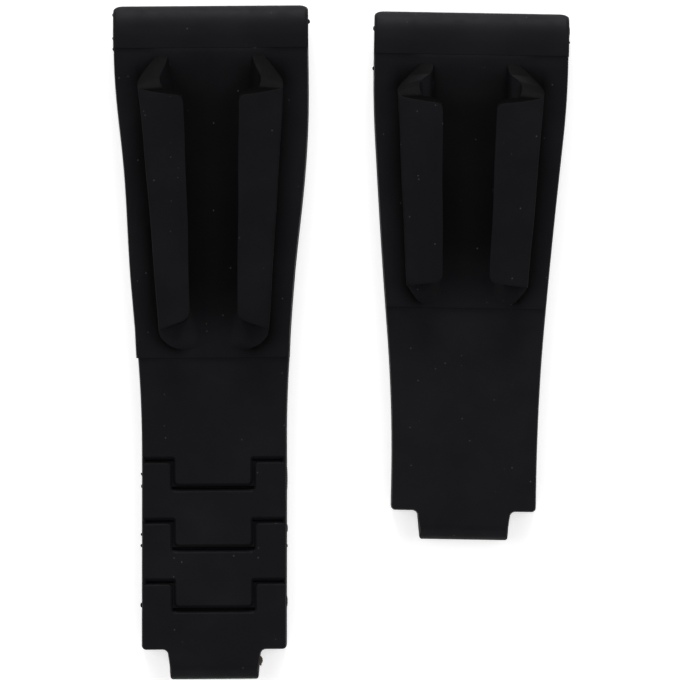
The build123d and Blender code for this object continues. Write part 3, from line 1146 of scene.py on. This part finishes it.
def steel(name, tint, roughness):
    """Bare steel with fine drawing marks and slight tarnish."""
    make = Nodes(name)
    stretched = make.add("ShaderNodeMapping", {"Vector": make.place, "Scale": (0.06, 1, 1)}).outputs["Vector"]
    lines = make.noise(9000, detail=2, place=stretched)
    tarnish = make.between(make.noise(700), low=0.4, high=0.7)
    dull = [0.72 * channel for channel in tint]
    make.link(make.mixed(tarnish, opaque(tint), opaque(dull)), "Base Color")
    make.shader.inputs["Metallic"].default_value = 1.0
    smooth, rough = roughness - 0.06, roughness + 0.1
    make.link(make.between(lines, low=0.3, high=0.7, first=smooth, last=rough), "Roughness")
    bump = make.add("ShaderNodeBump", {"Height": lines, "Strength": 0.15, "Distance": 0.01 * MM})
    make.link(bump.outputs["Normal"], "Normal")
    return make.material


class STRAP_OT_studio(bpy.types.Operator):
    """Set the pale floor, the surroundings, the lamps and the camera"""

    bl_idname = "strap.studio"
    bl_label = "Studio"

    def execute(self, context):
        self.floor()
        self.surroundings(context)
        self.lamps()
        self.camera(context)
        context.scene.view_settings.view_transform = "Standard"
        return {"FINISHED"}

    def floor(self):
        """A wide pale floor that glows a little of itself but keeps the strap's shadow."""
        look = studio()
        gap = 0.02 * MM
        clear_selection()
        bpy.ops.mesh.primitive_plane_add(size=6, location=(0, 0, -gap))
        floor = bpy.context.object
        floor.name = "studio_floor"
        make = Nodes("floor_paint")
        make.shader.inputs["Base Color"].default_value = opaque(look.floor)
        make.shader.inputs["Roughness"].default_value = 0.9
        make.shader.inputs["Specular IOR Level"].default_value = 0.1
        path = make.add("ShaderNodeLightPath")
        seen = make.maths("MAXIMUM", path.outputs["Is Camera Ray"], path.outputs["Is Glossy Ray"])
        seen = make.maths("MAXIMUM", seen, path.outputs["Is Transmission Ray"])
        make.shader.inputs["Emission Color"].default_value = (1, 1, 1, 1)
        make.link(make.maths("MULTIPLY", seen, look.floor_glow), "Emission Strength")
        floor.data.materials.append(make.material)

    def surroundings(self, context):
        """A plain room, brighter towards the horizon than overhead."""
        look = studio()
        world = bpy.data.worlds.new("plain_room")
        context.scene.world = world
        world.use_nodes = True
        tree = world.node_tree
        back = tree.nodes["Background"]
        back.inputs["Color"].default_value = (1, 1, 1, 1)
        place = tree.nodes.new("ShaderNodeTexCoord")
        height = tree.nodes.new("ShaderNodeSeparateXYZ")
        strength = tree.nodes.new("ShaderNodeMapRange")
        tree.links.new(place.outputs["Generated"], height.inputs["Vector"])
        tree.links.new(height.outputs["Z"], strength.inputs["Value"])
        strength.inputs["From Max"].default_value = 0.8
        strength.inputs["To Min"].default_value = look.horizon
        strength.inputs["To Max"].default_value = look.overhead
        tree.links.new(strength.outputs["Result"], back.inputs["Strength"])

    def lamps(self):
        """A large soft lamp beyond the heads, and weaker ones at both sides and beyond the tails."""
        look = studio()
        width = 0.5
        plan = {
            "key_lamp": ((0.0, 0.85, 0.24), look.key),
            "left_lamp": ((-0.52, 0.08, 0.64), look.fill),
            "right_lamp": ((0.52, 0.08, 0.64), look.fill),
            "tail_lamp": ((0.0, -0.7, 0.5), look.tail),
        }
        for name, (place, watts) in plan.items():
            clear_selection()
            bpy.ops.object.light_add(type="AREA", location=place)
            lamp = bpy.context.object
            lamp.name = name
            lamp.data.shape = "SQUARE"
            lamp.data.size = width
            lamp.data.energy = watts
            lamp.rotation_euler = (-Vector(place)).to_track_quat("-Z", "Y").to_euler()

    def camera(self, context):
        """A camera straight above the pair."""
        look = studio()
        aim = Vector(look.aim)
        clear_selection()
        bpy.ops.object.camera_add(
            location=aim + Vector((0, 0, look.distance)), rotation=(0, 0, look.roll))
        camera = bpy.context.object
        camera.name = "camera"
        camera.data.angle = 2 * atan(look.view_width / 2 / look.distance)
        camera.data.clip_start = 0.01
        context.scene.camera = camera


class STRAP_PT_panel(bpy.types.Panel):
    """Lists the strap's sizes, finish and steps"""

    bl_label = "Dive Strap"
    bl_idname = "STRAP_PT_panel"
    bl_space_type = "VIEW_3D"
    bl_region_type = "UI"
    bl_category = "Dive Strap"

    def draw(self, context):
        layout = self.layout
        for step in STEPS:
            layout.operator(step.bl_idname)
        for group in (sizes(), finish(), studio()):
            box = layout.box()
            for name in group.bl_rna.properties.keys():
                if name not in ("rna_type", "name"):
                    box.prop(group, name)


STEPS = (STRAP_OT_carcass, STRAP_OT_cushion, STRAP_OT_fins, STRAP_OT_tails, STRAP_OT_steel, STRAP_OT_studio)
CLASSES = (StrapSizes, StrapFinish, StudioSettings, *STEPS, STRAP_PT_panel)


def register():
    """Registers the classes and hangs the settings on the scene."""
    for item in CLASSES:
        bpy.utils.register_class(item)
    bpy.types.Scene.strap_sizes = bpy.props.PointerProperty(type=StrapSizes)
    bpy.types.Scene.strap_finish = bpy.props.PointerProperty(type=StrapFinish)
    bpy.types.Scene.strap_studio = bpy.props.PointerProperty(type=StudioSettings)


def unregister():
    """Takes away the settings and the classes."""
    del bpy.types.Scene.strap_studio
    del bpy.types.Scene.strap_finish
    del bpy.types.Scene.strap_sizes
    for item in reversed(CLASSES):
        bpy.utils.unregister_class(item)


def main():
    """Runs every step in order."""
    register()
    for step in STEPS:
        group, name = step.bl_idname.split(".")
        getattr(getattr(bpy.ops, group), name)()


if __name__ == "__main__":
    main()
